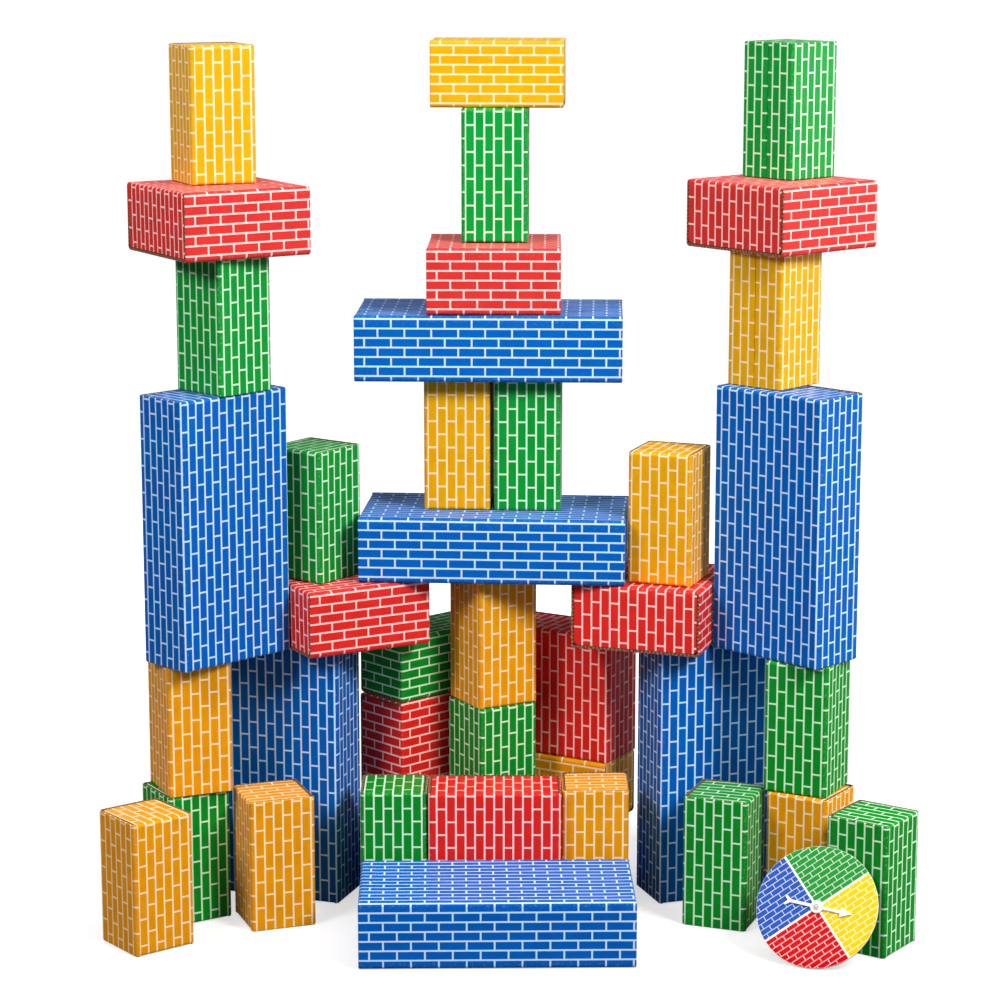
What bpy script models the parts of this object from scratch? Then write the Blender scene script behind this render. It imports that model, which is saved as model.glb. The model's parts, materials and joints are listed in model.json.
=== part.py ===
"""Castle of forty folded-card building blocks, with the four-colour spinner of the stacking game.

Every block is one folded blank: a closed sleeve with a tucked flap at each end.
All sizes follow from one module, the thickness of a block. Metres, +Z up, floor at z = 0.
The origin is the middle of the underside of the centre base plank.
"""

import math

import bmesh
import bpy
from mathutils import Matrix, Vector

MM = 0.001
AIR = 0.0003                 # gap left between any two pieces that touch

# Blocks: length, width and thickness in modules.
MODULE = 0.0762              # three inches
SIZES = {"half": (2, 1, 1), "square": (2, 2, 1), "long": (4, 2, 1)}
WALL = 0.003                 # corrugated board
FOLD_RADIUS = 0.004          # the four long folds are soft
FOLD_STEPS = 3
FLAP_GAP = 0.001             # slot around the three free edges of an end flap
HINGE_LAND = 0.004           # the slot stops short of the fourth edge, the hinge
SEAM_WIDTH = 0.0008          # butt seam where the sleeve closes on itself
SEAM_DEPTH = 0.0014

# Spinner: a card disc that leans on a block, a plastic arrow and its snap rivet.
DISC_RADIUS = 0.0685
DISC_THICKNESS = 0.0025
DISC_HOLE_RADIUS = 0.0023
DISC_FOOT = Vector((0.344, -0.323, 0.0))
DISC_YAW = math.radians(-21)
DISC_LEAN = math.radians(31)
ARROW_THICKNESS = 0.0016
ARROW_HUB_RADIUS = 0.0072
ARROW_TIP = 0.040            # hub centre to the point of the arrow
ARROW_HEAD_LENGTH = 0.013
ARROW_HEAD_WIDTH = 0.012
ARROW_TAIL = 0.036           # hub centre to the end of the forked tail
ARROW_FORK_LENGTH = 0.006
ARROW_FORK_WIDTH = 0.012
ARROW_BAR_WIDTH = 0.0036
ARROW_BEARING = math.radians(-6)
RIVET_SHANK_RADIUS = 0.0020
RIVET_HEAD_RADIUS = 0.0036
RIVET_HEAD_THICKNESS = 0.0014
RUNNING_FIT = 0.0001         # radial clearance of the arrow on the shank
ROUND_STEPS = 64
SMALL_ROUND_STEPS = 32

PAINT = {
    "yellow": (0.95, 0.50, 0.02),
    "green": (0.01, 0.34, 0.07),
    "red": (0.86, 0.05, 0.05),
    "blue": (0.01, 0.15, 0.58),
    "white": (0.90, 0.90, 0.88),
}

# name, size, colour, sleeve axis, hinge side, x (mm), y (mm), course, yaw (degrees).
# The sleeve axis and the hinge side are given before the yaw. Course 0 stands on the floor.
BLOCKS = (
    # outer left tower, thirteen courses
    ("left_tower_1_green_half", "half", "green", "z", "-y", -353, -138, 0, 32),
    ("left_tower_2_yellow_half", "half", "yellow", "z", "-x", -346, -139, 2, 24),
    ("left_tower_3_blue_long", "long", "blue", "z", "-y", -313, -134, 4, 44),
    ("left_tower_4_green_half", "half", "green", "z", "-x", -301, -127, 8, 46),
    ("left_tower_5_red_square", "square", "red", "x", "+z", -306, -110, 10, 31),
    ("left_tower_6_yellow_half", "half", "yellow", "z", "-y", -313, -84, 11, 25),
    # pier between the left tower and the centre
    ("left_pier_1_blue_long", "long", "blue", "z", "-x", -241, -48, 0, 71),
    ("left_pier_2_red_square", "square", "red", "x", "+z", -177, -49, 4, 29),
    ("left_pier_3_green_half", "half", "green", "z", "-x", -206, -53, 5, 54),
    # two posts at the front left
    ("left_post_outer_yellow_half", "half", "yellow", "z", "-y", -388, -236, 0, 38),
    ("left_post_inner_yellow_half", "half", "yellow", "z", "-x", -251, -157, 0, 20),
    # front wall with its step
    ("front_step_blue_long", "long", "blue", "x", "+z", 3, -249, 0, 1),
    ("front_wall_left_green_half", "half", "green", "z", "-y", -114, -129, 0, 0),
    ("front_wall_middle_red_square", "square", "red", "z", "-y", 1, -132, 0, 0),
    ("front_wall_right_yellow_half", "half", "yellow", "z", "+x", 116, -121, 0, 0),
    # centre tower on its base plank, with two bridging beams
    ("centre_base_blue_long", "long", "blue", "x", "+z", 0, 0, 0, 0),
    ("centre_tower_1_green_half", "half", "green", "z", "-y", -2, -38, 1, 32),
    ("centre_tower_2_yellow_half", "half", "yellow", "z", "-y", -1, -38, 3, 29),
    ("centre_tower_3_blue_beam", "long", "blue", "x", "+z", 2, -31, 5, -4),
    ("centre_tower_4_yellow_half", "half", "yellow", "z", "-y", -40, -15, 6, -4),
    ("centre_tower_4_green_half", "half", "green", "z", "-y", 40, -21, 6, -3),
    ("centre_tower_5_blue_beam", "long", "blue", "x", "+z", -4, -3, 8, -2),
    ("centre_tower_6_red_square", "square", "red", "x", "+z", 1, 1, 9, -1),
    ("centre_tower_7_green_half", "half", "green", "z", "-y", 2, 19, 10, -2),
    ("centre_tower_8_yellow_half", "half", "yellow", "x", "+z", 5, 30, 12, -3),
    # two low stacks behind the wall, on the same base plank
    ("rear_left_1_red_square", "square", "red", "x", "-y", -77, 15, 1, 43),
    ("rear_left_2_green_half", "half", "green", "x", "-y", -76, 16, 3, 42),
    ("rear_right_1_yellow_half", "half", "yellow", "y", "+z", 83, 18, 1, 60),
    ("rear_right_2_red_square", "square", "red", "z", "-x", 85, 19, 2, 60),
    # pier between the right tower and the centre
    ("right_pier_1_blue_long", "long", "blue", "z", "-y", 252, -49, 0, 19),
    ("right_pier_2_red_square", "square", "red", "x", "+z", 184, -49, 4, 72),
    ("right_pier_3_yellow_half", "half", "yellow", "z", "-x", 201, -72, 5, 69),
    # outer right tower, thirteen courses
    ("right_tower_1_yellow_half", "half", "yellow", "z", "-x", 362, -147, 0, 58),
    ("right_tower_2_green_half", "half", "green", "z", "-x", 357, -141, 2, 63),
    ("right_tower_3_blue_long", "long", "blue", "z", "-x", 331, -121, 4, 46),
    ("right_tower_4_yellow_half", "half", "yellow", "z", "+x", 317, -83, 8, 48),
    ("right_tower_5_red_square", "square", "red", "x", "+z", 325, -56, 10, 41),
    ("right_tower_6_green_half", "half", "green", "z", "+x", 335, -21, 11, 43),
    # two posts at the front right
    ("right_post_inner_green_half", "half", "green", "z", "-y", 263, -157, 0, 69),
    ("right_post_outer_green_half", "half", "green", "z", "-y", 422, -242, 0, 55),
)

AXES = {"x": Vector((1, 0, 0)), "y": Vector((0, 1, 0)), "z": Vector((0, 0, 1))}


def clear_scene():
    for obj in list(bpy.data.objects):
        bpy.data.objects.remove(obj, do_unlink=True)


def make_material(name, colour, roughness, metallic=0.0):
    material = bpy.data.materials.new(name)
    material.use_nodes = True
    shader = material.node_tree.nodes["Principled BSDF"]
    shader.inputs["Base Color"].default_value = (*colour, 1.0)
    shader.inputs["Roughness"].default_value = roughness
    shader.inputs["Metallic"].default_value = metallic
    material.diffuse_color = (*colour, 1.0)
    return material


def add_object(name, mesh, material):
    """One named piece; the material sits on the object so that pieces can share a mesh."""
    obj = bpy.data.objects.new(name, mesh)
    bpy.context.scene.collection.objects.link(obj)
    if not mesh.materials:
        mesh.materials.append(None)
    obj.material_slots[0].link = "OBJECT"
    obj.material_slots[0].material = material
    return obj


def mesh_from(bm, name):
    bmesh.ops.recalc_face_normals(bm, faces=bm.faces)
    mesh = bpy.data.meshes.new(name)
    bm.to_mesh(mesh)
    bm.free()
    return mesh


def box_mesh(name, low, high):
    bm = bmesh.new()
    bmesh.ops.create_cube(bm, size=1.0)
    size = [b - a for a, b in zip(low, high)]
    centre = [(a + b) / 2 for a, b in zip(low, high)]
    bmesh.ops.scale(bm, vec=size, verts=bm.verts)
    bmesh.ops.translate(bm, vec=centre, verts=bm.verts)
    return mesh_from(bm, name)


def extrude_outline(name, outline, depth):
    """A closed prism: the outline's face pushed along its own normal direction +Z by depth."""
    bm = bmesh.new()
    face = bm.faces.new([bm.verts.new((x, y, 0.0)) for x, y in outline])
    pushed = bmesh.ops.extrude_face_region(bm, geom=[face])
    moved = [v for v in pushed["geom"] if isinstance(v, bmesh.types.BMVert)]
    bmesh.ops.translate(bm, vec=(0, 0, depth), verts=moved)
    return mesh_from(bm, name)


# ---- folded blocks ----

def block_size(kind):
    """Length, width and thickness in metres, one air gap under the nominal module size."""
    return Vector([count * MODULE - AIR for count in SIZES[kind]])


def sleeve_mesh(kind):
    """The outside of a block: a box along X with its four long edges rounded."""
    size = block_size(kind)
    bm = bmesh.new()
    bmesh.ops.create_cube(bm, size=1.0)
    bmesh.ops.scale(bm, vec=size, verts=bm.verts)
    folds = [e for e in bm.edges if abs((e.verts[0].co - e.verts[1].co).x) > size.x / 2]
    bmesh.ops.bevel(bm, geom=folds, offset=FOLD_RADIUS, segments=FOLD_STEPS, profile=0.5,
                    affect="EDGES")
    return mesh_from(bm, kind + "_sleeve")


def flap_slot_mesh(kind, end):
    """U-shaped slot that frees three edges of the flap at one end; the hinge is the +Z edge."""
    half = block_size(kind) / 2
    wide = half.y - WALL
    deep = half.z - WALL
    inner_wide = wide - FLAP_GAP
    inner_deep = deep - FLAP_GAP
    top = deep - HINGE_LAND
    outline = [
        (wide, top), (wide, -deep), (-wide, -deep), (-wide, top),
        (-inner_wide, top), (-inner_wide, -inner_deep),
        (inner_wide, -inner_deep), (inner_wide, top),
    ]
    mesh = extrude_outline("slot", outline, WALL * 2)
    # the prism's XY outline becomes YZ, its depth runs outward along X
    turn = Matrix(((0, 0, 1, 0), (1, 0, 0, 0), (0, 1, 0, 0), (0, 0, 0, 1)))
    start = half.x - WALL * 1.5 if end > 0 else -half.x - WALL * 0.5
    mesh.transform(Matrix.Translation((start, 0, 0)) @ turn)
    return mesh


def add_cut(target, mesh):
    cutter = bpy.data.objects.new("cutter_" + mesh.name, mesh)
    bpy.context.scene.collection.objects.link(cutter)
    cutter.hide_render = True
    cutter.display_type = "WIRE"
    cut = target.modifiers.new("cut", "BOOLEAN")
    cut.operation = "DIFFERENCE"
    cut.solver = "EXACT"
    cut.object = cutter
    return cutter


def folded_block_mesh(kind):
    """Hollow block: sleeve, inner space, end flaps and, on the small size, the seam of the sleeve."""
    half = block_size(kind) / 2
    blank = bpy.data.objects.new(kind + "_blank", sleeve_mesh(kind))
    bpy.context.scene.collection.objects.link(blank)
    inner = [side - WALL for side in half]
    cutters = [add_cut(blank, box_mesh("inside", [-side for side in inner], inner))]
    cutters += [add_cut(blank, flap_slot_mesh(kind, end)) for end in (-1, 1)]
    if kind == "half":
        low = (-half.x - WALL, -SEAM_WIDTH / 2, -half.z - WALL)
        high = (half.x + WALL, SEAM_WIDTH / 2, -half.z + SEAM_DEPTH)
        cutters.append(add_cut(blank, box_mesh("seam", low, high)))
    bpy.context.view_layer.update()
    seen = blank.evaluated_get(bpy.context.evaluated_depsgraph_get())
    mesh = bpy.data.meshes.new_from_object(seen)
    mesh.name = kind + "_block"
    for obj in [blank] + cutters:
        bpy.data.objects.remove(obj, do_unlink=True)
    return mesh


def signed_axis(text):
    return AXES[text[-1]] * (-1 if text.startswith("-") else 1)


def block_turn(sleeve_axis, hinge_side):
    """Rotation that lays the block's X along the sleeve axis and its Z towards the hinge side."""
    along = signed_axis(sleeve_axis)
    hinge = signed_axis(hinge_side)
    across = hinge.cross(along)
    return Matrix((along, across, hinge)).transposed()


def place_block(mesh, name, kind, colour, sleeve_axis, hinge_side, x, y, course, yaw):
    turn = block_turn(sleeve_axis, hinge_side)
    size = block_size(kind)
    height = sum(abs(turn[2][i]) * size[i] for i in range(3))
    obj = add_object(name, mesh, make_material(name, PAINT[colour], 0.55))
    spin = Matrix.Rotation(math.radians(yaw), 3, "Z")
    obj.rotation_euler = (spin @ turn).to_euler()
    obj.location = (x * MM, y * MM, course * MODULE + height / 2)
    return obj


def build_blocks():
    meshes = {kind: folded_block_mesh(kind) for kind in SIZES}
    for row in BLOCKS:
        name, kind = row[0], row[1]
        place_block(meshes[kind], name, kind, *row[2:])


# ---- spinner ----

def ring(radius, steps):
    return [(radius * math.cos(2 * math.pi * i / steps), radius * math.sin(2 * math.pi * i / steps))
            for i in range(steps)]


def pierced(name, outline, thickness, hole_radius):
    """A flat plate from its outline, with one round hole at the origin."""
    plate = bpy.data.objects.new(name + "_plate", extrude_outline(name, outline, thickness))
    bpy.context.scene.collection.objects.link(plate)
    hole = extrude_outline("hole", ring(hole_radius, SMALL_ROUND_STEPS), thickness * 3)
    hole.transform(Matrix.Translation((0, 0, -thickness)))
    cutter = add_cut(plate, hole)
    bpy.context.view_layer.update()
    seen = plate.evaluated_get(bpy.context.evaluated_depsgraph_get())
    mesh = bpy.data.meshes.new_from_object(seen)
    mesh.name = name
    for obj in (plate, cutter):
        bpy.data.objects.remove(obj, do_unlink=True)
    return mesh


def arrow_outline():
    """Outline of the pointer along +X: triangular head, bar, round hub, bar and forked tail."""
    bar = ARROW_BAR_WIDTH / 2
    join = math.asin(bar / ARROW_HUB_RADIUS)
    neck = ARROW_TIP - ARROW_HEAD_LENGTH
    fork_start = ARROW_TAIL - ARROW_FORK_LENGTH
    upper = [(ARROW_TIP, 0.0), (neck, ARROW_HEAD_WIDTH / 2), (neck, bar)]
    hub_steps = 12
    for i in range(hub_steps + 1):
        angle = join + (math.pi - 2 * join) * i / hub_steps
        upper.append((ARROW_HUB_RADIUS * math.cos(angle), ARROW_HUB_RADIUS * math.sin(angle)))
    upper += [
        (-fork_start, bar),
        (-ARROW_TAIL, ARROW_FORK_WIDTH / 2),
        (-ARROW_TAIL - bar, ARROW_FORK_WIDTH / 2 - bar),
        (-fork_start - bar * 2, 0.0),
    ]
    lower = [(x, -y) for x, y in reversed(upper[1:-1])]
    return upper + lower


def rivet_mesh():
    """Snap rivet turned about Z: a broad back flange, a shank and a domed front head."""
    stack = DISC_THICKNESS + ARROW_THICKNESS + 3 * AIR
    profile = [
        (RIVET_HEAD_RADIUS, -AIR - RIVET_HEAD_THICKNESS),
        (RIVET_HEAD_RADIUS, -AIR),
        (RIVET_SHANK_RADIUS, -AIR),
        (RIVET_SHANK_RADIUS, stack - AIR),
        (RIVET_HEAD_RADIUS, stack - AIR),
        (RIVET_HEAD_RADIUS * 0.8, stack - AIR + RIVET_HEAD_THICKNESS * 0.7),
        (RIVET_HEAD_RADIUS * 0.4, stack - AIR + RIVET_HEAD_THICKNESS),
    ]
    bm = bmesh.new()
    points = [bm.verts.new((r, 0.0, z)) for r, z in profile]
    edges = [bm.edges.new(pair) for pair in zip(points, points[1:])]
    bmesh.ops.spin(bm, geom=points + edges, cent=(0, 0, 0), axis=(0, 0, 1),
                   angle=2 * math.pi, steps=SMALL_ROUND_STEPS, use_merge=True)
    bmesh.ops.remove_doubles(bm, verts=bm.verts, dist=1e-7)
    bmesh.ops.holes_fill(bm, edges=[e for e in bm.edges if e.is_boundary], sides=0)
    return mesh_from(bm, "rivet")


def build_spinner():
    """The disc's frame: Z is its printed face's normal, and Y runs up its face from the foot."""
    turn = (Matrix.Rotation(DISC_YAW, 3, "Z")
            @ Matrix.Rotation(math.radians(90) - DISC_LEAN, 3, "X"))
    up = turn @ Vector((0, 1, 0))
    hub = bpy.data.objects.new("spinner_frame", None)
    bpy.context.scene.collection.objects.link(hub)
    hub.location = DISC_FOOT + up * DISC_RADIUS
    hub.rotation_euler = turn.to_euler()

    disc = pierced("disc", ring(DISC_RADIUS, ROUND_STEPS), DISC_THICKNESS, DISC_HOLE_RADIUS)
    arrow = pierced("arrow", arrow_outline(), ARROW_THICKNESS,
                    RIVET_SHANK_RADIUS + RUNNING_FIT)
    pieces = (
        ("spinner_disc", disc, "yellow", 0.5, 0.0, 0.0, 0.0),
        ("spinner_arrow", arrow, "white", 0.35, DISC_THICKNESS + AIR, ARROW_BEARING, 0.0),
        ("spinner_rivet", rivet_mesh(), "white", 0.35, 0.0, 0.0, 0.0),
    )
    for name, mesh, colour, roughness, lift, bearing, metallic in pieces:
        piece = add_object(name, mesh, make_material(name, PAINT[colour], roughness, metallic))
        piece.parent = hub
        piece.location = (0, 0, lift)
        piece.rotation_euler = (0, 0, bearing)


clear_scene()
build_blocks()
build_spinner()
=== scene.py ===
"""Looks for the castle of folded-card blocks and its spinner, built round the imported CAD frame."""

import json
import math

import bmesh
import bpy
import numpy as np
from mathutils import Matrix, Vector


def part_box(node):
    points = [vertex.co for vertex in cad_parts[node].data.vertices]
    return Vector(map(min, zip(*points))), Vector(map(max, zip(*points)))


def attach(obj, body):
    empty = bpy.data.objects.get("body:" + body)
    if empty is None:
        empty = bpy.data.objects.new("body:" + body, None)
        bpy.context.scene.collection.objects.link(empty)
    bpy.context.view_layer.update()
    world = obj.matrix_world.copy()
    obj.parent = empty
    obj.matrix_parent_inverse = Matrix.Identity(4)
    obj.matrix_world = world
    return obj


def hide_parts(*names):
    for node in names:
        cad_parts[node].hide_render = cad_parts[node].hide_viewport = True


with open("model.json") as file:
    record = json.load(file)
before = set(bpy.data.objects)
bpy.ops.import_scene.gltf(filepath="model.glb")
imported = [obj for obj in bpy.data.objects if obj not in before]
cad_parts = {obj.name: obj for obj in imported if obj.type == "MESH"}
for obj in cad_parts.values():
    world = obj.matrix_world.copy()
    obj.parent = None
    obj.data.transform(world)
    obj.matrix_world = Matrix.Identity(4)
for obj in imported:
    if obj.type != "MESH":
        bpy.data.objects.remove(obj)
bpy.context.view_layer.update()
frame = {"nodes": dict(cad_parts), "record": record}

MODULE = 0.0762
AIR = 0.0003
SIZES = {"half": (2, 1, 1), "square": (2, 2, 1), "long": (4, 2, 1)}

# Board and folds
WALL = 0.003
FOLD_RADIUS = 0.0045
FOLD_STEPS = 6
HINGE_RADIUS = 0.0034
HINGE_STEPS = 5
FLAP_SIDE_GAP = 0.0008
FLAP_CORNER = 0.005
RIM_BEVEL = 0.0010           # the die-cut edge is crushed, so the print rolls over it a little
SEAM_WIDTH = 0.0007
SEAM_DEPTH = 0.0013
LIP_DROP = 0.0004            # how far the print rolls down into the seam
HINGE_STEP = 0.00002         # width of the step where the top wall meets the flap's hinge
FLAP_PRESS = (0.0002, 0.0012)   # how far a flap's free edge is pushed in
GRID = 0.011                 # spacing of the mesh across a face
DENT = 0.0006                # deepest hollow a face is pressed in by
DENT_RAMP = 0.025            # distance from a fold over which a hollow fades in
FIRST_SEED = 100

# Printed bricks, in modules
BRICK_LENGTH = 0.4
BRICK_ROW = 1 / 7
MORTAR_HALF = 0.0138
END_JOINT = 0.04             # from the block's end to the first joint
SEAM_ROW = 0.645             # from the seam to the first mortar line on each side, in rows
# the blocks laid flat with their seam upwards show the print the other way round, in rows
ROW_SHIFT = dict.fromkeys((
    "centre_tower_3_blue_beam", "centre_tower_5_blue_beam", "centre_tower_6_red_square",
    "left_tower_5_red_square", "left_pier_2_red_square",
    "right_tower_5_red_square", "right_pier_2_red_square"), 0.68)

# name: size, sleeve axis, hinge side, yaw in degrees; axes are given before the yaw
BLOCKS = {
    "left_tower_1_green_half": ("half", "z", "-y", 32),
    "left_tower_2_yellow_half": ("half", "z", "-x", 24),
    "left_tower_3_blue_long": ("long", "z", "-y", 44),
    "left_tower_4_green_half": ("half", "z", "-x", 46),
    "left_tower_5_red_square": ("square", "x", "+z", 31),
    "left_tower_6_yellow_half": ("half", "z", "-y", 25),
    "left_pier_1_blue_long": ("long", "z", "-x", 71),
    "left_pier_2_red_square": ("square", "x", "+z", 29),
    "left_pier_3_green_half": ("half", "z", "-x", 54),
    "left_post_outer_yellow_half": ("half", "z", "-y", 38),
    "left_post_inner_yellow_half": ("half", "z", "-x", 20),
    "front_step_blue_long": ("long", "x", "+z", 1),
    "front_wall_left_green_half": ("half", "z", "-y", 0),
    "front_wall_middle_red_square": ("square", "z", "-y", 0),
    "front_wall_right_yellow_half": ("half", "z", "+x", 0),
    "centre_base_blue_long": ("long", "x", "+z", 0),
    "centre_tower_1_green_half": ("half", "z", "-y", 32),
    "centre_tower_2_yellow_half": ("half", "z", "-y", 29),
    "centre_tower_3_blue_beam": ("long", "x", "+z", -4),
    "centre_tower_4_yellow_half": ("half", "z", "-y", -4),
    "centre_tower_4_green_half": ("half", "z", "-y", -3),
    "centre_tower_5_blue_beam": ("long", "x", "+z", -2),
    "centre_tower_6_red_square": ("square", "x", "+z", -1),
    "centre_tower_7_green_half": ("half", "z", "-y", -2),
    "centre_tower_8_yellow_half": ("half", "x", "+z", -3),
    "rear_left_1_red_square": ("square", "x", "-y", 43),
    "rear_left_2_green_half": ("half", "x", "-y", 42),
    "rear_right_1_yellow_half": ("half", "y", "+z", 60),
    "rear_right_2_red_square": ("square", "z", "-x", 60),
    "right_pier_1_blue_long": ("long", "z", "-y", 19),
    "right_pier_2_red_square": ("square", "x", "+z", 72),
    "right_pier_3_yellow_half": ("half", "z", "-x", 69),
    "right_tower_1_yellow_half": ("half", "z", "-x", 58),
    "right_tower_2_green_half": ("half", "z", "-x", 63),
    "right_tower_3_blue_long": ("long", "z", "-x", 46),
    "right_tower_4_yellow_half": ("half", "z", "+x", 48),
    "right_tower_5_red_square": ("square", "x", "+z", 41),
    "right_tower_6_green_half": ("half", "z", "+x", 43),
    "right_post_inner_green_half": ("half", "z", "-y", 69),
    "right_post_outer_green_half": ("half", "z", "-y", 55),
}

# ink with painted shade for the low blocks, ink with painted light for the high blocks, and mortar,
# sRGB 0-255
PAINTED_SHADE_AND_LIGHT_INKS = {
    "yellow": ((238, 154, 2), (231, 171, 10), (255, 226, 186)),
    "green": ((10, 142, 36), (13, 155, 57), (210, 242, 206)),
    "red": ((230, 38, 30), (221, 53, 49), (255, 208, 204)),
    "blue": ((0, 95, 188), (3, 100, 190), (200, 224, 252)),
}
PAINTED_SHADE_HEIGHT = 0.15        # blocks below this have the painted shade ink, above the next the painted light ink
PAINTED_LIGHT_HEIGHT = 0.75
FLUTE_PITCH = 0.075          # in modules
EDGE_FLUTE_PITCH = 0.06
EDGE_PRINT_WIDTH = 0.04      # how much of the edge pattern the board's thickness spans
DISC_INKS = {"blue": (38, 86, 180), "green": (36, 148, 54), "red": (212, 6, 18),
             "yellow": (240, 202, 14)}

# Spinner print, in metres
DISC_BRICK_LENGTH = 0.0139
DISC_BRICK_ROW = 0.0062
DISC_MORTAR_HALF = 0.00045
DISC_BAND_HALF = 0.0010      # half the white band between two quarters
DISC_PRINT_RADIUS = 0.0680
DISC_PRINT_BLUR = 0.0004


def linear(rgb):
    """sRGB 0-255 to linear 0-1 with alpha."""
    out = []
    for value in rgb:
        c = value / 255
        out.append(c / 12.92 if c <= 0.04045 else ((c + 0.055) / 1.055) ** 2.4)
    return (*out, 1.0)


# ---- materials ----

class Nodes:
    """Short calls for building a node tree."""

    def __init__(self, name):
        self.material = bpy.data.materials.new(name)
        self.material.use_nodes = True
        self.tree = self.material.node_tree
        self.shader = self.tree.nodes["Principled BSDF"]

    def add(self, kind, inputs=None, **settings):
        node = self.tree.nodes.new(kind)
        for key, value in settings.items():
            setattr(node, key, value)
        for key, value in (inputs or {}).items():
            self.plug(value, node.inputs[key])
        return node

    def plug(self, value, socket):
        if isinstance(value, bpy.types.NodeSocket):
            self.tree.links.new(value, socket)
        else:
            socket.default_value = value

    def math(self, operation, *values, clamp=False):
        node = self.add("ShaderNodeMath", operation=operation, use_clamp=clamp)
        for i, value in enumerate(values):
            self.plug(value, node.inputs[i])
        return node.outputs[0]

    def mix(self, factor, a, b, blend="MIX"):
        node = self.add("ShaderNodeMix", data_type="RGBA", blend_type=blend)
        self.plug(factor, node.inputs[0])
        self.plug(a, node.inputs[6])
        self.plug(b, node.inputs[7])
        return node.outputs[2]

    def ramp(self, value, low, high, to_low=0.0, to_high=1.0):
        node = self.add("ShaderNodeMapRange", {"Value": value, "From Min": low, "From Max": high,
                                               "To Min": to_low, "To Max": to_high})
        node.interpolation_type = "SMOOTHSTEP"
        return node.outputs[0]

    def noise(self, vector, scale, detail=2.0):
        node = self.add("ShaderNodeTexNoise", {"Vector": vector, "Scale": scale, "Detail": detail})
        return node.outputs["Fac"]

    def uv(self, layer="print"):
        return self.add("ShaderNodeUVMap", uv_map=layer).outputs[0]

    def attribute(self, name):
        return self.add("ShaderNodeAttribute", attribute_name=name).outputs["Fac"]

    def finish(self, colour, roughness, height=None, distance=0.0002, strength=1.0, **extra):
        self.plug(colour, self.shader.inputs["Base Color"])
        self.plug(roughness, self.shader.inputs["Roughness"])
        if height is not None:
            bump = self.add("ShaderNodeBump", {"Height": height, "Distance": distance,
                                               "Strength": strength})
            self.plug(bump.outputs[0], self.shader.inputs["Normal"])
        for key, value in extra.items():
            self.plug(value, self.shader.inputs[key.replace("_", " ")])
        return self.material


def printed_board(colour):
    """Varnished print on board: flat ink bricks with painted shade low down and painted light higher
    up, pale mortar, faint flutes and soft wear.
    """
    painted_shade_ink, painted_light_ink, mortar = (linear(c) for c in PAINTED_SHADE_AND_LIGHT_INKS[colour])
    n = Nodes(colour + "_brick_print_painted_shade")
    uv = n.uv()
    where = n.add("ShaderNodeTexCoord").outputs["Object"]
    above = n.add("ShaderNodeSeparateXYZ", {"Vector": where}).outputs["Z"]
    # painted shade and light: the ink goes from its shaded copy near the floor to its lit copy
    # higher up
    ink = n.mix(n.ramp(above, PAINTED_SHADE_HEIGHT, PAINTED_LIGHT_HEIGHT), painted_shade_ink, painted_light_ink)
    grain = n.noise(uv, 3.0, 3.0)
    fine = n.noise(uv, 60.0, 2.0)
    brick = n.add("ShaderNodeTexBrick", {
        "Vector": uv, "Scale": 1.0, "Mortar Size": MORTAR_HALF, "Mortar Smooth": 0.1, "Bias": 0.0,
        "Brick Width": BRICK_LENGTH, "Row Height": BRICK_ROW,
    }, offset=0.5, offset_frequency=2, squash=1.0, squash_frequency=2)
    darker = n.mix(1.0, ink, (0.9, 0.9, 0.9, 1.0), "MULTIPLY")
    shade = n.mix(n.ramp(grain, 0.35, 0.7), ink, darker)
    shade = n.mix(n.ramp(fine, 0.5, 0.8, 0.0, 0.08), shade, darker)
    colour_out = n.mix(brick.outputs["Fac"], shade, mortar)
    # ink thins out on the folds
    fold = n.attribute("fold")
    scuff = n.math("MULTIPLY", fold, n.ramp(n.noise(uv, 22.0, 4.0), 0.5, 0.75, 0.0, 0.16))
    colour_out = n.mix(scuff, colour_out, mortar)
    roughness = n.math("ADD", 0.28, n.math("MULTIPLY", grain, 0.14))
    roughness = n.math("ADD", roughness, n.math("MULTIPLY", scuff, 0.3))
    # flutes of the corrugated board telegraph faintly through the liner
    along = n.add("ShaderNodeSeparateXYZ", {"Vector": uv}).outputs["Y"]
    flutes = n.math("SINE", n.math("MULTIPLY", along, 2 * math.pi / FLUTE_PITCH))
    pits = n.noise(uv, 140.0, 2.0)
    height = n.math("ADD", n.math("MULTIPLY", flutes, 0.12), n.math("MULTIPLY", pits, 0.5))
    return n.finish(colour_out, roughness, height, 0.00012, 0.4, Specular_IOR_Level=0.07)


def raw_board():
    """Cut edge and inside of the corrugated board: kraft brown with its flutes showing."""
    n = Nodes("raw_board")
    uv = n.uv()
    parts = n.add("ShaderNodeSeparateXYZ", {"Vector": uv})
    wave = n.math("SINE", n.math("MULTIPLY", parts.outputs["Y"], 2 * math.pi / EDGE_FLUTE_PITCH))
    fibre = n.noise(uv, 90.0, 4.0)
    brown, dark = linear((150, 108, 70)), linear((70, 46, 30))
    colour = n.mix(n.ramp(wave, -0.2, 0.7), dark, brown)
    colour = n.mix(n.ramp(fibre, 0.4, 0.7, 0.0, 0.35), colour, linear((180, 140, 98)))
    height = n.math("ADD", wave, fibre)
    return n.finish(colour, 0.92, height, 0.0004, 0.6)


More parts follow.
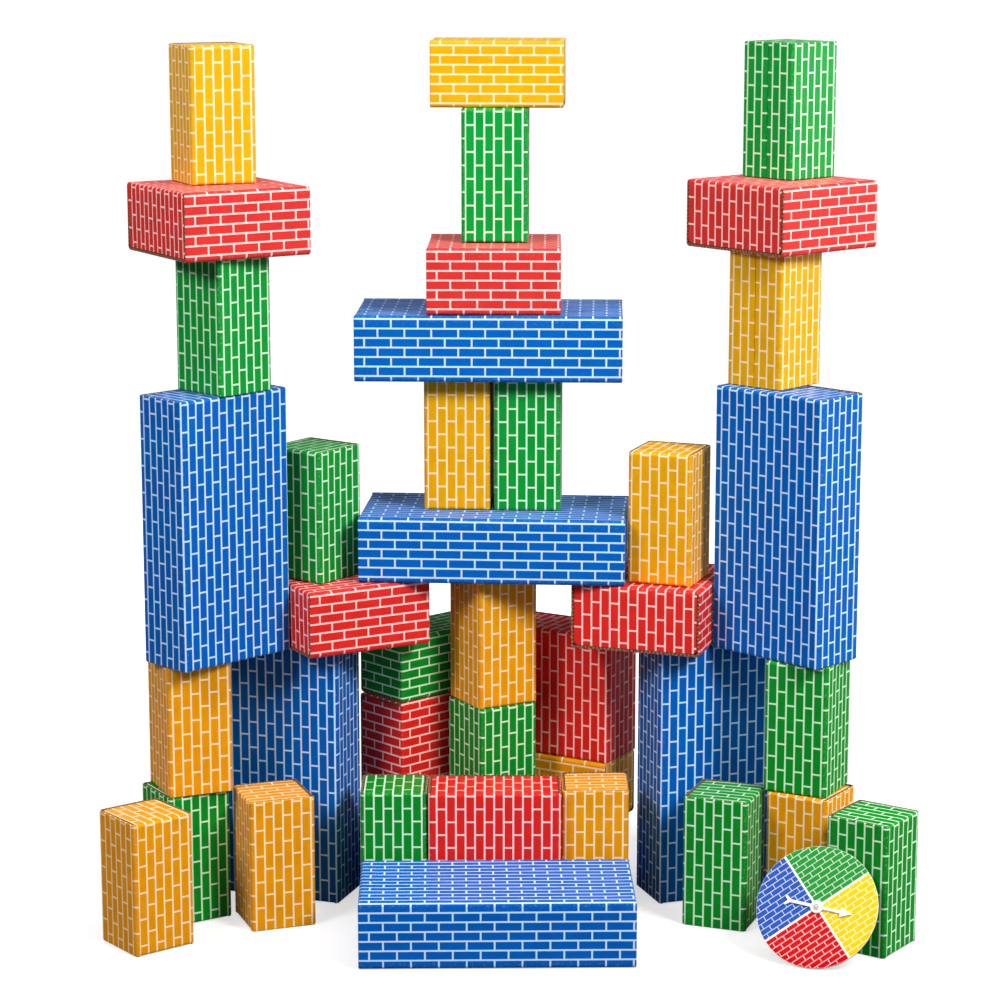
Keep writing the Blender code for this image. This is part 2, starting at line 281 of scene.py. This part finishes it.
def spinner_print(turn):
    """Four coloured quarters of the same small brick print, parted by white bands."""
    n = Nodes("spinner_print")
    uv = n.uv()
    spun = n.add("ShaderNodeVectorRotate", {"Vector": uv, "Angle": -turn},
                 rotation_type="Z_AXIS").outputs[0]
    parts = n.add("ShaderNodeSeparateXYZ", {"Vector": spun})
    x, y = parts.outputs["X"], parts.outputs["Y"]
    brick = n.add("ShaderNodeTexBrick", {
        "Vector": spun, "Scale": 1.0, "Mortar Size": DISC_MORTAR_HALF, "Mortar Smooth": 0.2,
        "Bias": 0.0, "Brick Width": DISC_BRICK_LENGTH, "Row Height": DISC_BRICK_ROW,
    }, offset=0.5, offset_frequency=2, squash=1.0, squash_frequency=2)
    right, top = n.math("GREATER_THAN", x, 0.0), n.math("GREATER_THAN", y, 0.0)
    upper = n.mix(right, linear(DISC_INKS["blue"]), linear(DISC_INKS["green"]))
    lower = n.mix(right, linear(DISC_INKS["red"]), linear(DISC_INKS["yellow"]))
    quarter = n.mix(top, lower, upper)
    pale = n.mix(0.35, linear((250, 250, 245)), quarter)
    grain = n.noise(uv, 90.0, 3.0)
    quarter = n.mix(n.ramp(grain, 0.4, 0.8, 0.0, 0.15), quarter, linear((40, 30, 30)))
    colour = n.mix(brick.outputs["Fac"], quarter, pale)
    near = n.math("MINIMUM", n.math("ABSOLUTE", x), n.math("ABSOLUTE", y))
    band = n.ramp(near, DISC_BAND_HALF, DISC_BAND_HALF + DISC_PRINT_BLUR, 1.0, 0.0)
    radius = n.add("ShaderNodeVectorMath", {0: uv}, operation="LENGTH").outputs["Value"]
    rim = n.ramp(radius, DISC_PRINT_RADIUS, DISC_PRINT_RADIUS + DISC_PRINT_BLUR)
    white = linear((250, 250, 248))
    colour = n.mix(n.math("MAXIMUM", band, rim), colour, white)
    height = n.noise(uv, 900.0, 2.0)
    return n.finish(colour, n.math("ADD", 0.3, n.math("MULTIPLY", grain, 0.15)), height,
                    0.0001, 0.25, Specular_IOR_Level=0.04)


def white_plastic():
    n = Nodes("white_moulded_plastic")
    where = n.add("ShaderNodeTexCoord").outputs["Object"]
    cloud = n.noise(where, 60.0, 3.0)
    colour = n.mix(n.ramp(cloud, 0.3, 0.8), linear((246, 246, 242)), linear((228, 230, 230)))
    sparkle = n.noise(where, 1800.0, 2.0)
    return n.finish(colour, n.math("ADD", 0.24, n.math("MULTIPLY", cloud, 0.16)), sparkle,
                    0.0001, 0.3)


def groove_painted_shade():
    """Painted shade: a grey that stands for the shade in the rivet's groove and centre pit."""
    n = Nodes("rivet_groove_painted_shade")
    where = n.add("ShaderNodeTexCoord").outputs["Object"]
    cloud = n.noise(where, 400.0, 3.0)
    colour = n.mix(cloud, linear((96, 96, 98)), linear((134, 134, 136)))
    return n.finish(colour, n.math("ADD", 0.4, n.math("MULTIPLY", cloud, 0.2)), cloud, 0.0001, 0.3)


def studio_floor():
    n = Nodes("studio_floor")
    where = n.add("ShaderNodeTexCoord").outputs["Object"]
    cloud = n.noise(where, 3.0, 4.0)
    tone = n.mix(n.ramp(cloud, 0.3, 0.7), linear((250, 250, 250)), linear((246, 247, 249)))
    n.plug(tone, n.shader.inputs["Emission Color"])
    depth = n.add("ShaderNodeSeparateXYZ", {"Vector": where}).outputs["Y"]
    glow = n.ramp(depth, BACKDROP_START, BACKDROP_FULL, FLOOR_GLOW, BACKDROP_GLOW)
    seen = n.add("ShaderNodeLightPath").outputs["Is Camera Ray"]
    dim = n.math("ADD", n.math("MULTIPLY", seen, 1 - FLOOR_BOUNCE), FLOOR_BOUNCE)
    n.plug(n.math("MULTIPLY", glow, dim), n.shader.inputs["Emission Strength"])
    tone = n.mix(seen, linear(FLOOR_DARK), linear(FLOOR_GREY))
    return n.finish(tone, 0.6, n.noise(where, 400.0, 3.0), 0.0001, 0.1)


# ---- mesh building ----

class MeshMaker:
    """Collects faces that carry print coordinates, a fold mark per corner and a material number."""

    def __init__(self):
        self.points = []
        self.index = {}
        self.faces = []
        self.uvs = []
        self.folds = []
        self.slots = []

    def point(self, co):
        key = tuple(round(c * 1e6) for c in co)
        if key not in self.index:
            self.index[key] = len(self.points)
            self.points.append(tuple(co))
        return self.index[key]

    def face(self, corners, slot, fold=0.0):
        """corners: (position, uv) or (position, uv, fold) in order; repeated corners collapse."""
        ids, uvs, folds = [], [], []
        for corner in corners:
            i = self.point(corner[0])
            if i in ids:
                continue
            ids.append(i)
            uvs.append(corner[1])
            folds.append(corner[2] if len(corner) > 2 else fold)
        if len(ids) > 2:
            self.faces.append(ids)
            self.uvs.append(uvs)
            self.folds.append(folds)
            self.slots.append(slot)

    def mesh(self, name):
        mesh = bpy.data.meshes.new(name)
        mesh.from_pydata(self.points, [], self.faces)
        mesh.uv_layers.new(name="print")
        mesh.attributes.new("fold", "FLOAT", "CORNER")
        flat_uv = [c for face in self.uvs for uv in face for c in uv]
        mesh.uv_layers["print"].data.foreach_set("uv", flat_uv)
        flat_fold = [v for face in self.folds for v in face]
        mesh.attributes["fold"].data.foreach_set("value", flat_fold)
        mesh.polygons.foreach_set("material_index", self.slots)
        mesh.update()
        bm = bmesh.new()
        bm.from_mesh(mesh)
        bmesh.ops.recalc_face_normals(bm, faces=bm.faces)
        bm.to_mesh(mesh)
        bm.free()
        return mesh


def spread(start, end, step):
    """Evenly spaced values from start to end, both included, no further apart than step."""
    count = max(1, math.ceil(abs(end - start) / step))
    return [start + (end - start) * i / count for i in range(count + 1)]


def block_size(kind):
    return Vector([count * MODULE - AIR for count in SIZES[kind]])


def sleeve_profile(half_y, half_z, flap_y):
    """Points round the sleeve from one lip of the seam to the other.

    Each is (y, z, normal y, normal z, distance along the blank, fold mark, under the hinge).
    """
    r = FOLD_RADIUS
    points = []
    travel = 0.0
    last = None

    def put(y, z, ny, nz, fold=0.0, hinge=False, sink=0.0):
        nonlocal travel, last
        if last is not None:
            travel += math.hypot(y - last[0], z - last[1])
        last = (y, z)
        points.append((y - ny * sink, z - nz * sink, ny, nz, travel, fold, hinge))

    def side_wall(start, end, y, normal_y):
        for value in spread(start, end, GRID)[1:]:
            put(y, value, normal_y, 0, 0.5 if abs(value - end) < 1e-9 else 0.0)

    def corner(cy, cz, start):
        for i in range(1, FOLD_STEPS + 1):
            angle = math.radians(start + 90 * i / FOLD_STEPS)
            mark = 0.5 + 0.5 * math.sin(math.pi * i / FOLD_STEPS)
            put(cy + r * math.cos(angle), cz + r * math.sin(angle),
                math.cos(angle), math.sin(angle), mark)

    lip = SEAM_WIDTH / 2
    put(lip * 0.5, -half_z, 0, -1, 0.3, sink=SEAM_DEPTH)
    put(lip * 0.8, -half_z, 0, -1, 0.6, sink=LIP_DROP)
    put(lip * 2.0, -half_z, 0, -1, 0.4)
    for value in spread(lip * 2.0, half_y - r, GRID)[1:]:
        put(value, -half_z, 0, -1, 0.5 if value > half_y - r - 1e-9 else 0.0)
    corner(half_y - r, -half_z + r, -90)
    side_wall(-half_z + r, half_z - r, half_y, 1)
    corner(half_y - r, half_z - r, 0)
    # the top wall has a step on each side of the hinge
    put(flap_y + HINGE_STEP, half_z, 0, 1, 0.3)
    for value in spread(flap_y, -flap_y, GRID):
        put(value, half_z, 0, 1, 0.0, hinge=True)
    put(-flap_y - HINGE_STEP, half_z, 0, 1, 0.3)
    put(-half_y + r, half_z, 0, 1, 0.5)
    corner(-half_y + r, half_z - r, 90)
    side_wall(half_z - r, -half_z + r, -half_y, -1)
    corner(-half_y + r, -half_z + r, 180)
    for value in spread(-half_y + r, -lip * 2.0, GRID)[1:-1]:
        put(value, -half_z, 0, -1)
    put(-lip * 2.0, -half_z, 0, -1, 0.4)
    put(-lip * 0.8, -half_z, 0, -1, 0.6, sink=LIP_DROP)
    put(-lip * 0.5, -half_z, 0, -1, 0.3, sink=SEAM_DEPTH)
    return points


def dent_depth(seed, across, along):
    """Shallow hollow in the middle of each wall, never standing proud of it."""
    rng = np.random.default_rng(seed)
    total = 0.0
    for k in range(3):
        a, b, c = rng.uniform(0, 2 * math.pi, 3)
        total += 0.5 + 0.5 * math.sin(across * (18 + 9 * k) + a) * math.cos(along * (13 + 8 * k) + b)
    return total / 3


def block_mesh(name, kind, seed):
    """One folded block along X, its hinge side up, as a sleeve and two end flaps."""
    size = block_size(kind)
    hx, hy, hz = size / 2
    flap_y = hy - WALL - FLAP_SIDE_GAP
    profile = sleeve_profile(hy, hz, flap_y)
    rng = np.random.default_rng(seed)
    start_u = BRICK_LENGTH * math.ceil(hx / MODULE / BRICK_LENGTH) - hx / MODULE + END_JOINT
    row = BRICK_ROW * (2 * int(rng.integers(0, 12)) - SEAM_ROW + ROW_SHIFT.get(name, 0.0))
    shift = (start_u + 8.0 + 0.8 * int(rng.integers(0, 12)), 20.0 + row)
    dent_seed = int(rng.integers(0, 1 << 30))

    def uv(x, s):
        return (x / MODULE + shift[0], s / MODULE + shift[1])

    def ease(value, limit):
        edge = min(1.0, max(0.0, (limit - abs(value)) / DENT_RAMP))
        return edge * edge * (3 - 2 * edge)

    maker = MeshMaker()
    ends = hx - RIM_BEVEL
    rings = sorted(set(
        [-hx, -ends, ends, hx] + spread(-hx + HINGE_RADIUS, hx - HINGE_RADIUS, GRID)))

    def outer(x, p):
        y, z, ny, nz, s, fold, hinge = p
        if hinge:
            x = max(-hx + HINGE_RADIUS, min(hx - HINGE_RADIUS, x))
        sink = RIM_BEVEL if abs(x) > hx - 1e-9 else 0.0
        across = y if abs(nz) > 0.9 else z
        wide = hy if abs(nz) > 0.9 else hz
        if abs(ny) > 0.99 or abs(nz) > 0.99:
            room = ease(across, wide - FOLD_RADIUS) * ease(x, hx)
            if room > 0:
                side = round(ny * 3 + nz * 7)
                sink += DENT * room * dent_depth(dent_seed + side, across, x)
        mark = max(fold, 0.8 if abs(abs(x) - hx) < 1e-6 and not hinge else 0.0)
        return (x, y - ny * sink, z - nz * sink), uv(x, s), mark

    def inner(x, p):
        y, z, ny, nz, s, fold, hinge = p
        if hinge:
            x = max(-hx + HINGE_RADIUS, min(hx - HINGE_RADIUS, x))
        if abs(nz) > 0.99:
            z = math.copysign(hz, nz)
        return (x, y - ny * WALL, z - nz * WALL), uv(x, s)

    def rim_inside(x, p):
        u, v = uv(x, p[4])
        return inner(x, p)[0], (u + EDGE_PRINT_WIDTH, v)

    for a, b in zip(profile, profile[1:]):
        for x0, x1 in zip(rings, rings[1:]):
            maker.face([outer(x0, a), outer(x1, a), outer(x1, b), outer(x0, b)], 0)
        maker.face([inner(-hx, a), inner(-hx, b), inner(hx, b), inner(hx, a)], 1)
        for x in (-hx, hx):
            maker.face([outer(x, a)[:2], outer(x, b)[:2], rim_inside(x, b), rim_inside(x, a)], 1)
    # the two lips of the seam
    for p in (profile[0], profile[-1]):
        corners = [outer(x, p)[:2] for x in rings]
        maker.face(corners + [inner(hx, p), inner(-hx, p)], 1)

    top_s = next(p[4] for p in profile if p[6])
    for end in (-1, 1):
        flap_sheet(maker, end, hx, hz, flap_y, top_s, uv, float(rng.uniform(*FLAP_PRESS)))
    return maker.mesh(name + "_card")


def flap_sheet(maker, end, hx, hz, flap_y, top_s, uv, press):
    """End flap: rolls over the hinge and closes the end, its free edge pressed in a little."""
    r = HINGE_RADIUS
    path = []                # x from the block's middle, z, normal x, normal z, distance, fold mark
    for i in range(HINGE_STEPS + 1):
        angle = math.radians(90 * i / HINGE_STEPS)
        path.append((hx - r + r * math.sin(angle), hz - r + r * math.cos(angle),
                     math.sin(angle), math.cos(angle), r * angle,
                     0.35 + 0.65 * math.sin(2 * angle)))
    bottom = -hz + WALL + FLAP_SIDE_GAP
    drop = [hz - r - v for v in spread(hz - r, bottom + FLAP_CORNER, GRID)][1:]
    drop += [hz - r - bottom - FLAP_CORNER * (1 - f) for f in (0.3, 0.6, 0.85, 1.0)]
    length = hz - r - bottom
    for d in drop:
        lean = press * (d / length) ** 2
        path.append((hx - lean, hz - r - d, 1.0, 0.0, r * math.pi / 2 + d, 0.0))
    total = path[-1][4]
    columns = spread(-1.0, 1.0, GRID / flap_y)

    def half_width(distance):
        back = max(0.0, FLAP_CORNER - (total - distance))
        return flap_y - (FLAP_CORNER - math.sqrt(max(0.0, FLAP_CORNER ** 2 - back ** 2)))

    def corner(t, p, depth):
        x, z, nx, nz, distance, fold = p
        y = t * half_width(distance)
        co = (end * (x - nx * depth), y, z - nz * depth)
        s = top_s + (flap_y - y)
        mark = fold if depth == 0 else 0.0
        return co, uv(end * (hx - r + distance), s), mark

    for t0, t1 in zip(columns, columns[1:]):
        for p, q in zip(path, path[1:]):
            maker.face([corner(t0, p, 0), corner(t1, p, 0), corner(t1, q, 0), corner(t0, q, 0)], 0)
            maker.face([corner(t0, p, WALL), corner(t0, q, WALL),
                        corner(t1, q, WALL), corner(t1, p, WALL)], 1)
        for p in (path[0], path[-1]):
            edge = [corner(t0, p, 0), corner(t1, p, 0), corner(t1, p, WALL), corner(t0, p, WALL)]
            maker.face(edge, 1)
    for t in (columns[0], columns[-1]):
        for p, q in zip(path, path[1:]):
            edge = [corner(t, p, 0), corner(t, q, 0), corner(t, q, WALL), corner(t, p, WALL)]
            maker.face(edge, 1)


AXES = {"x": Vector((1, 0, 0)), "y": Vector((0, 1, 0)), "z": Vector((0, 0, 1))}


def signed_axis(text):
    return AXES[text[-1]] * (-1 if text.startswith("-") else 1)


def block_matrix(node, sleeve_axis, hinge_side, yaw):
    low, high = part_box(node)
    along, hinge = signed_axis(sleeve_axis), signed_axis(hinge_side)
    turn = Matrix((along, hinge.cross(along), hinge)).transposed()
    spin = Matrix.Rotation(math.radians(yaw), 3, "Z")
    return Matrix.Translation((low + high) / 2) @ (spin @ turn).to_4x4()


def shade_smooth(mesh, angle=35):
    mesh.shade_smooth()
    mesh.set_sharp_from_angle(angle=math.radians(angle))


def dress_block(node, body, slot, materials, seed):
    kind, sleeve_axis, hinge_side, yaw = BLOCKS[node]
    mesh = block_mesh(node, kind, seed)
    mesh.transform(block_matrix(node, sleeve_axis, hinge_side, yaw))
    shade_smooth(mesh)
    mesh.materials.append(materials[slot.split("_")[0]])
    mesh.materials.append(materials["raw"])
    piece = bpy.data.objects.new(node + "_card", mesh)
    bpy.context.scene.collection.objects.link(piece)
    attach(piece, body)
    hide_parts(node)


# ---- spinner ----

DISC_YAW = math.radians(-21)
DISC_LEAN = math.radians(31)
DISC_EDGE = 0.0004
PRINT_TURN = math.radians(41)
ARROW_BEARING = math.radians(-6)


# Arrow; BAR is half its bar's width, HUB and BORE are radii
ARROW_TIP = 0.040
ARROW_HEAD_LENGTH = 0.013
ARROW_HEAD_WIDTH = 0.012
ARROW_TAIL = 0.036
ARROW_FORK_LENGTH = 0.006
ARROW_FORK_WIDTH = 0.012
ARROW_BAR = 0.0018
ARROW_HUB = 0.0072
ARROW_BORE = 0.0021
ARROW_SOFTNESS = 0.00045

# Rivet's head
HEAD_FOOT = 0.0003           # upright part of the head under its dome
HEAD_MIN_HEIGHT = 0.0012
FLANGE_CHAMFER = (0.0005, 0.0004)
GROOVE_OUTER = 0.0024
GROOVE_INNER = 0.0015
GROOVE_DEPTH = 0.0004
GROOVE_SLOPE = 0.0001
RIVET_PIT = 0.0006


def spinner_axes():
    return (Matrix.Rotation(DISC_YAW, 3, "Z")
            @ Matrix.Rotation(math.radians(90) - DISC_LEAN, 3, "X"))


def local_vertices(node, turn):
    """A CAD node's points in the spinner's own axes, about the disc's centre."""
    low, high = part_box("spinner_disc")
    centre = (low + high) / 2
    back = turn.transposed()
    return centre, [back @ (v.co - centre) for v in frame["nodes"][node].data.vertices]


def lathe(maker, rows, steps, slots):
    """Rings of (radius, height) joined round Z; slots gives each band's material."""
    for (r0, z0), (r1, z1), slot in zip(rows, rows[1:], slots):
        for i in range(steps):
            a, b = 2 * math.pi * i / steps, 2 * math.pi * (i + 1) / steps
            quad = [(r0, a, z0), (r0, b, z0), (r1, b, z1), (r1, a, z1)]
            maker.face([((r * math.cos(t), r * math.sin(t), z),
                         (r * math.cos(t), r * math.sin(t))) for r, t, z in quad], slot)


def add_piece(name, mesh, materials, matrix, body, node):
    for material in materials:
        mesh.materials.append(material)
    mesh.transform(matrix)
    piece = bpy.data.objects.new(name, mesh)
    bpy.context.scene.collection.objects.link(piece)
    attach(piece, body)
    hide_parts(node)
    return piece


def rivet_profile(shank, head, base, under, over, top):
    """Flange, shank and domed head from the base up, with each band's material."""
    foot = over + HEAD_FOOT

    def dome(r):
        return foot + (top - foot) * math.sqrt(max(0.0, 1 - (r / head) ** 2))

    plain = [(0.0, base), (head - FLANGE_CHAMFER[0], base), (head, base + FLANGE_CHAMFER[1]),
             (head, under), (shank, under), (shank, over), (head, over), (head, foot)]
    plain += [(head * f, dome(head * f)) for f in (0.96, 0.88, 0.78)]
    plain.append((GROOVE_OUTER, dome(GROOVE_OUTER)))
    floor = dome(GROOVE_OUTER) - GROOVE_DEPTH
    groove = [(GROOVE_OUTER - GROOVE_SLOPE, floor), (GROOVE_INNER + GROOVE_SLOPE, floor),
              (GROOVE_INNER, dome(GROOVE_INNER))]
    middle = [(RIVET_PIT, dome(RIVET_PIT))]
    pit = [(RIVET_PIT * 0.8, dome(0) - GROOVE_DEPTH), (0.0, dome(0) - GROOVE_DEPTH)]
    # the groove and the centre pit take the grey painted shade
    slots = [0] * (len(plain) - 1) + [1] * len(groove) + [0] * len(middle) + [1] * len(pit)
    return plain + groove + middle + pit, slots


def dress_spinner(materials):
    turn = spinner_axes()
    centre, disc = local_vertices("spinner_disc", turn)
    place = Matrix.Translation(centre) @ turn.to_4x4()
    radius = max(math.hypot(v.x, v.y) for v in disc)
    hole = min(math.hypot(v.x, v.y) for v in disc)
    low, high = min(v.z for v in disc), max(v.z for v in disc)

    maker = MeshMaker()
    e = DISC_EDGE
    rows = [(hole, low), (hole, high)]
    rows += [(hole + (radius - e - hole) * i / 8, high) for i in range(1, 9)]
    rows += [(radius - e * 0.3, high - e * 0.3), (radius, high - e), (radius, low + e),
             (radius - e, low), (hole, low)]
    slots = [1] + [0] * 8 + [0, 0, 1, 1, 1]
    lathe(maker, rows, 160, slots)
    mesh = maker.mesh("spinner_disc_card")
    shade_smooth(mesh, 40)
    add_piece("spinner_disc_card", mesh, [materials["spinner"], materials["raw"]], place,
              "spinner_disc", "spinner_disc")

    _, arrow = local_vertices("spinner_arrow", turn)
    arrow_low, arrow_high = min(v.z for v in arrow), max(v.z for v in arrow)
    bearing = Matrix.Rotation(ARROW_BEARING, 4, "Z")
    mesh = arrow_mesh(arrow_low, arrow_high)
    add_piece("spinner_arrow_moulding", mesh, [materials["plastic"]], place @ bearing,
              "spinner_arrow", "spinner_arrow")

    _, rivet = local_vertices("spinner_rivet", turn)
    levels = sorted(set(round(v.z, 6) for v in rivet))
    radii = [math.hypot(v.x, v.y) for v in rivet]
    base, under, top = levels[0], levels[1], levels[-1]
    over = max(z for z in levels if z < top - HEAD_MIN_HEIGHT)
    shank, head = min(r for r in radii if r > 0.001), max(radii)
    maker = MeshMaker()
    rows, slots = rivet_profile(shank, head, base, under, over, top)
    lathe(maker, rows, 48, slots)
    mesh = maker.mesh("spinner_rivet_moulding")
    shade_smooth(mesh, 40)
    # the second material is the grey painted shade of the groove and pit
    add_piece("spinner_rivet_moulding", mesh, [materials["plastic"], materials["groove"]], place,
              "spinner_disc", "spinner_rivet")


def arrow_mesh(low, high):
    """Moulded pointer with softened edges and a round boss over its hub."""
    join = math.asin(ARROW_BAR / ARROW_HUB)
    neck = ARROW_TIP - ARROW_HEAD_LENGTH
    fork = ARROW_TAIL - ARROW_FORK_LENGTH
    upper = [(ARROW_TIP, 0.0), (neck, ARROW_HEAD_WIDTH / 2), (neck, ARROW_BAR)]
    steps = 20
    for i in range(steps + 1):
        angle = join + (math.pi - 2 * join) * i / steps
        upper.append((ARROW_HUB * math.cos(angle), ARROW_HUB * math.sin(angle)))
    upper += [(-fork, ARROW_BAR), (-ARROW_TAIL, ARROW_FORK_WIDTH / 2),
              (-ARROW_TAIL - ARROW_BAR, ARROW_FORK_WIDTH / 2 - ARROW_BAR),
              (-fork - ARROW_BAR * 2, 0.0)]
    outline = upper + [(x, -y) for x, y in reversed(upper[1:-1])]
    bm = bmesh.new()
    face = bm.faces.new([bm.verts.new((x, y, low)) for x, y in outline])
    pushed = bmesh.ops.extrude_face_region(bm, geom=[face])
    bmesh.ops.translate(bm, vec=(0, 0, high - low),
                        verts=[v for v in pushed["geom"] if isinstance(v, bmesh.types.BMVert)])
    bmesh.ops.recalc_face_normals(bm, faces=bm.faces)
    body = bpy.data.meshes.new("arrow_blank")
    bm.to_mesh(body)
    bm.free()
    blank = bpy.data.objects.new("arrow_blank", body)
    bpy.context.scene.collection.objects.link(blank)

    bore = MeshMaker()
    lathe(bore, [(0.0, low - 0.001), (ARROW_BORE, low - 0.001), (ARROW_BORE, high + 0.001),
                 (0.0, high + 0.001)], 48, [0, 0, 0])
    cutter = bpy.data.objects.new("arrow_bore", bore.mesh("arrow_bore"))
    bpy.context.scene.collection.objects.link(cutter)
    cut = blank.modifiers.new("bore", "BOOLEAN")
    cut.object = cutter
    cut.solver = "EXACT"
    soft = blank.modifiers.new("soft_edges", "BEVEL")
    soft.width = ARROW_SOFTNESS
    soft.segments = 3
    soft.limit_method = "ANGLE"
    soft.angle_limit = math.radians(50)
    bpy.context.view_layer.update()
    mesh = bpy.data.meshes.new_from_object(
        blank.evaluated_get(bpy.context.evaluated_depsgraph_get()))
    mesh.name = "spinner_arrow_moulding"
    for obj in (blank, cutter):
        bpy.data.objects.remove(obj)
    shade_smooth(mesh, 40)
    return mesh


# ---- stage ----

FLOOR_GREY = (190, 190, 191)   # under the glow, so that shadows stay soft
FLOOR_DARK = (104, 105, 107)   # what the blocks are lit by
FLOOR_GLOW = 0.63
BACKDROP_GLOW = 0.97
FLOOR_BOUNCE = 0.04          # share of the glow that reaches the blocks
BACKDROP_START = 0.0         # depth behind the castle where the floor starts to whiten
BACKDROP_FULL = 1.3
SWEEP_FRONT = -8.0
SWEEP_START = 4.0            # where the floor starts to curve up
SWEEP_RADIUS = 3.0
SWEEP_STEPS = 16
SWEEP_TOP = 9.0
SWEEP_HALF_WIDTH = 12.0
FLOOR_DROP = 0.0005          # keeps the floor clear of the blocks' undersides
SURROUND_FRONT = 0.1         # strength of the surround on the camera's side
SURROUND_BACK = 0.16

LIGHT_TARGET = (0.0, -0.1, 0.45)
SOFTBOXES = (                # name, place, size, power in watts
    ("overhead_softbox", (0.0, -0.5, 3.0), (2.2, 1.8), 32),
    ("key_softbox", (1.63, -1.75, 2.15), (0.75, 0.85), 76),
    ("fill_softbox", (-1.63, -1.75, 2.15), (0.75, 0.85), 42),
    ("side_softbox", (2.9, 0.0, 1.15), (0.9, 1.1), 25),
    ("rear_left_softbox", (-1.3, 2.4, 1.2), (0.9, 1.1), 12),
    ("rear_right_softbox", (2.3, 1.9, 1.1), (0.9, 1.1), 12),
)

CAMERA_PLACE = (0.007, -3.458, 1.159)
CAMERA_LENS = 108.6
CAMERA_PITCH = 11.46         # degrees below level


def build_floor(material):
    """A flat floor that sweeps up into a plain backdrop well behind the castle."""
    bm = bmesh.new()
    profile = [(SWEEP_FRONT, 0.0), (SWEEP_START, 0.0)]
    for i in range(1, SWEEP_STEPS + 1):
        angle = math.pi / 2 * i / SWEEP_STEPS
        profile.append((SWEEP_START + SWEEP_RADIUS * math.sin(angle),
                        SWEEP_RADIUS * (1 - math.cos(angle))))
    profile.append((SWEEP_START + SWEEP_RADIUS, SWEEP_TOP))
    rows = []
    for x in (-SWEEP_HALF_WIDTH, SWEEP_HALF_WIDTH):
        rows.append([bm.verts.new((x, y, z)) for y, z in profile])
    for a, b, c, d in zip(rows[0], rows[0][1:], rows[1][1:], rows[1]):
        bm.faces.new((a, d, c, b))
    mesh = bpy.data.meshes.new("floor_sweep")
    bm.to_mesh(mesh)
    bm.free()
    mesh.shade_smooth()
    mesh.materials.append(material)
    floor = bpy.data.objects.new("floor_sweep", mesh)
    bpy.context.scene.collection.objects.link(floor)
    floor.location.z = -FLOOR_DROP


def add_area(name, location, size, power):
    light = bpy.data.lights.new(name, "AREA")
    light.shape = "RECTANGLE"
    light.size, light.size_y = size
    light.energy = power
    obj = bpy.data.objects.new(name, light)
    obj.location = location
    aim = Vector(LIGHT_TARGET) - Vector(location)
    obj.rotation_euler = aim.to_track_quat("-Z", "Y").to_euler()
    bpy.context.scene.collection.objects.link(obj)


def build_world():
    """Soft surround, a little brighter behind the castle, and plain white to the camera."""
    world = bpy.data.worlds.new("studio")
    world.use_nodes = True
    tree = world.node_tree
    where = tree.nodes.new("ShaderNodeTexCoord")
    parts = tree.nodes.new("ShaderNodeSeparateXYZ")
    level = tree.nodes.new("ShaderNodeMapRange")
    level.inputs["From Min"].default_value = -0.6
    level.inputs["From Max"].default_value = 0.8
    level.inputs["To Min"].default_value = SURROUND_FRONT
    level.inputs["To Max"].default_value = SURROUND_BACK
    tree.links.new(where.outputs["Generated"], parts.inputs[0])
    tree.links.new(parts.outputs["Y"], level.inputs["Value"])
    seen = tree.nodes.new("ShaderNodeLightPath").outputs["Is Camera Ray"]
    strength = tree.nodes.new("ShaderNodeMath")
    strength.operation = "MAXIMUM"
    tree.links.new(level.outputs[0], strength.inputs[0])
    tree.links.new(seen, strength.inputs[1])
    tree.links.new(strength.outputs[0], tree.nodes["Background"].inputs["Strength"])
    tree.nodes["Background"].inputs["Color"].default_value = (1, 1, 1, 1)
    bpy.context.scene.world = world


def build_stage():
    build_floor(studio_floor())
    for softbox in SOFTBOXES:
        add_area(*softbox)
    build_world()

    camera = bpy.data.cameras.new("camera")
    camera.lens = CAMERA_LENS
    camera.sensor_width = 36
    camera.clip_start, camera.clip_end = 0.05, 60
    obj = bpy.data.objects.new("camera", camera)
    obj.location = CAMERA_PLACE
    obj.rotation_euler = (math.radians(90 - CAMERA_PITCH), 0, 0)
    bpy.context.scene.collection.objects.link(obj)
    bpy.context.scene.camera = obj
    bpy.context.scene.view_settings.view_transform = "Standard"


def main():
    materials = {colour: printed_board(colour) for colour in ("yellow", "green", "red", "blue")}
    materials["raw"] = raw_board()
    materials["spinner"] = spinner_print(PRINT_TURN)
    materials["plastic"] = white_plastic()
    materials["groove"] = groove_painted_shade()
    slots = {part["node"]: part["material_slot"] for part in frame["record"]["subparts"]}
    bodies = {node: body for body, nodes in frame["record"]["behaviour"]["bodies"].items()
              for node in nodes}
    for seed, node in enumerate(BLOCKS):
        dress_block(node, bodies[node], slots[node], materials, FIRST_SEED + seed)
    dress_spinner(materials)
    build_stage()


main()
